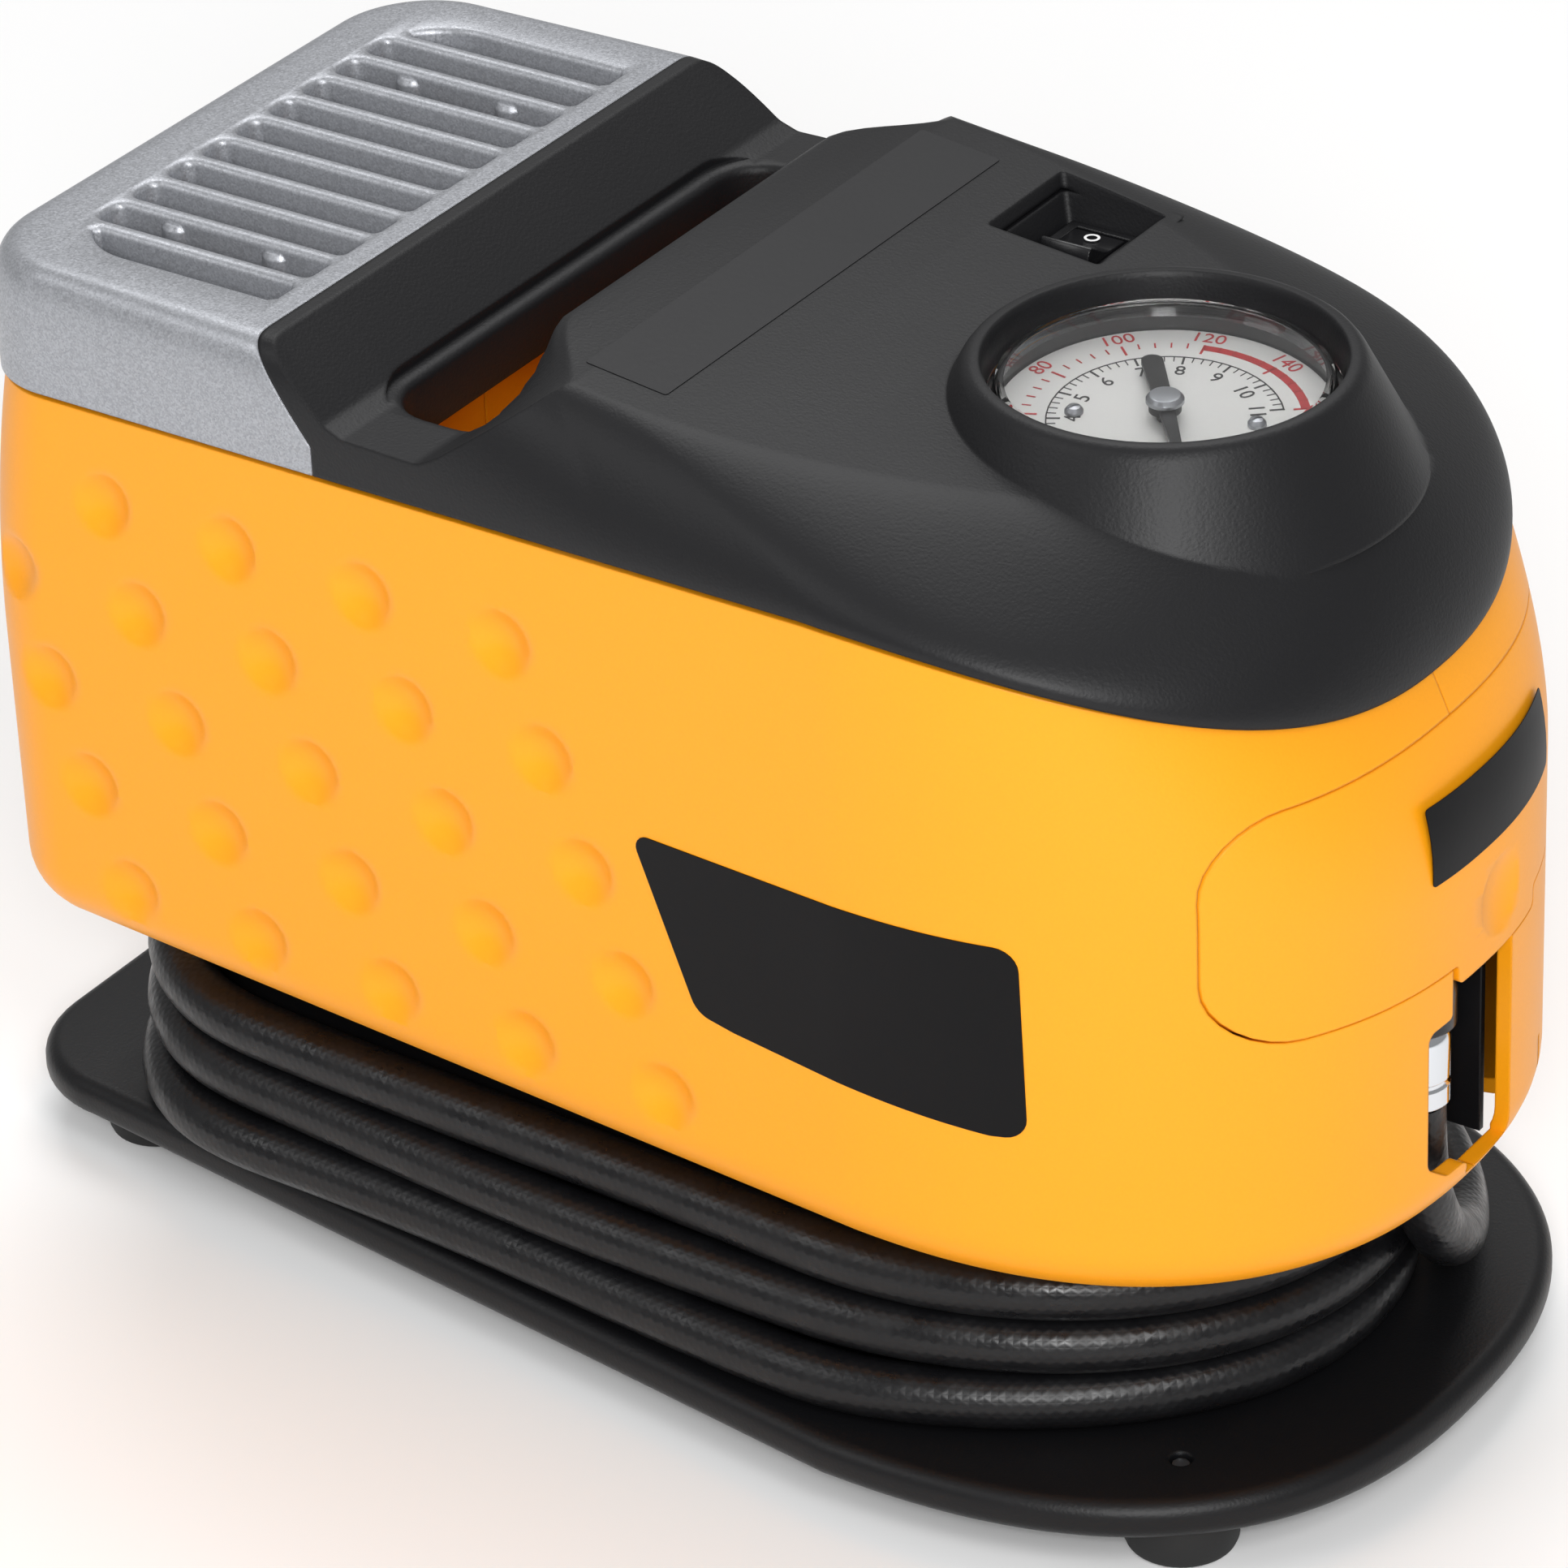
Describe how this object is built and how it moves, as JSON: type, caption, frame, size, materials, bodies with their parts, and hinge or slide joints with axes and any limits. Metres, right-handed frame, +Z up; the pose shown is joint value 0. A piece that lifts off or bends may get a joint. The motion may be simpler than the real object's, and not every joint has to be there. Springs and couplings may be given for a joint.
{
  "type": "portable tire inflator",
  "caption": "Portable mains air compressor with a top handle, sloping gauge panel, rocker switch and an air hose wound round its base.",
  "frame": {"origin": "centre of the footprint, on the surface that the feet stand on", "axes": "+X to the nose with the gauge and the chuck, +Y to the left side, +Z up"},
  "size_m": [0.301, 0.1588, 0.2091],
  "materials": {
    "yellow_plastic": "satin moulded, fine grain",
    "silver_paint": "metallic speckle paint on a moulding",
    "black_plastic": "moulded with a fine leather grain",
    "gloss_black": "smooth moulded",
    "foot_rubber": "soft, matt",
    "hose_rubber": "satin, with a faint cloth imprint",
    "steel": "turned and zinc plated",
    "chrome": "polished plate",
    "brass": "turned",
    "copper": "drawn tube",
    "alloy": "die cast",
    "dial_white": "printed card",
    "clear_lens": "clear moulding",
    "nylon": "natural, satin"
  },
  "bodies": {
    "root": {"housing_left": "yellow_plastic", "housing_right": "yellow_plastic", "vent_grille": "silver_paint", "top_cover": "black_plastic", "base_plate": "black_plastic", "hose_drum": "black_plastic", "accessory_tray": "black_plastic", "gauge_case": "black_plastic", "switch_body": "black_plastic", "motor_end_cap": "black_plastic", "foot_1": "foot_rubber", "foot_2": "foot_rubber", "foot_3": "foot_rubber", "foot_4": "foot_rubber", "cord_gland": "foot_rubber", "hose_gland": "foot_rubber", "hose_tail": "hose_rubber", "hose_coil": "hose_rubber", "hose_lead": "hose_rubber", "supply_tube": "hose_rubber", "plate_screw_1": "steel", "plate_screw_2": "steel", "plate_screw_3": "steel", "plate_screw_4": "steel", "motor_can": "steel", "head_bolt_1": "steel", "head_bolt_2": "steel", "head_bolt_3": "steel", "head_bolt_4": "steel", "chuck_body": "chrome", "ball_needle": "chrome", "valve_adapter": "brass", "gauge_stem": "brass", "gear_bearing": "brass", "manifold_block": "brass", "bourdon_tube": "copper", "head_tube": "copper", "gauge_tube": "copper", "pump_frame": "alloy", "cylinder": "alloy", "cylinder_head": "alloy", "gauge_dial": "dial_white", "gauge_lens": "clear_lens", "cone_nozzle": "nylon"},
    "accessory_cover_body": {"accessory_cover": "yellow_plastic"},
    "rocker": {"rocker_paddle": "gloss_black"},
    "needle": {"gauge_needle": "gloss_black"},
    "rotor": {"motor_shaft": "steel", "motor_fan": "nylon", "pinion": "brass"},
    "crank": {"drive_gear": "nylon", "gear_shaft": "steel", "crank_pin": "steel"},
    "piston": {"piston_rod": "nylon", "piston_cup": "foot_rubber"},
    "collar": {"chuck_collar": "gloss_black"}
  },
  "joints": [
    {"name": "accessory_pull", "type": "slide", "parent": "root", "child": "accessory_cover_body", "axis": [1, 0, 0], "range_m": [0, 0.06]},
    {"name": "rocker_tilt", "type": "hinge", "parent": "root", "child": "rocker", "pos_m": [0.041, 0.0445, 0.19509], "axis": [1, 0, 0], "range_deg": [0, 26]},
    {"name": "needle_turn", "type": "hinge", "parent": "root", "child": "needle", "pos_m": [0.086, 0, 0.198], "axis": [0, 0, 1], "range_deg": [-270, 0]},
    {"name": "crank_spin", "type": "hinge", "parent": "root", "child": "crank", "pos_m": [0.004, 0.012, 0.098], "axis": [1, 0, 0], "continuous": true},
    {"name": "rotor_spin", "type": "hinge", "parent": "root", "child": "rotor", "pos_m": [-0.05, -0.018, 0.098], "axis": [1, 0, 0], "continuous": true},
    {"name": "piston_stroke", "type": "slide", "parent": "root", "child": "piston", "axis": [0, 0, 1], "range_m": [-0.02, 0]},
    {"name": "collar_turn", "type": "hinge", "parent": "root", "child": "collar", "pos_m": [0.1374, -0.001, 0.094], "axis": [0, 0, 1], "continuous": true}
  ],
  "couplings": [
    {"joint": "rotor_spin", "follows": "crank_spin", "ratio": -4}
  ]
}
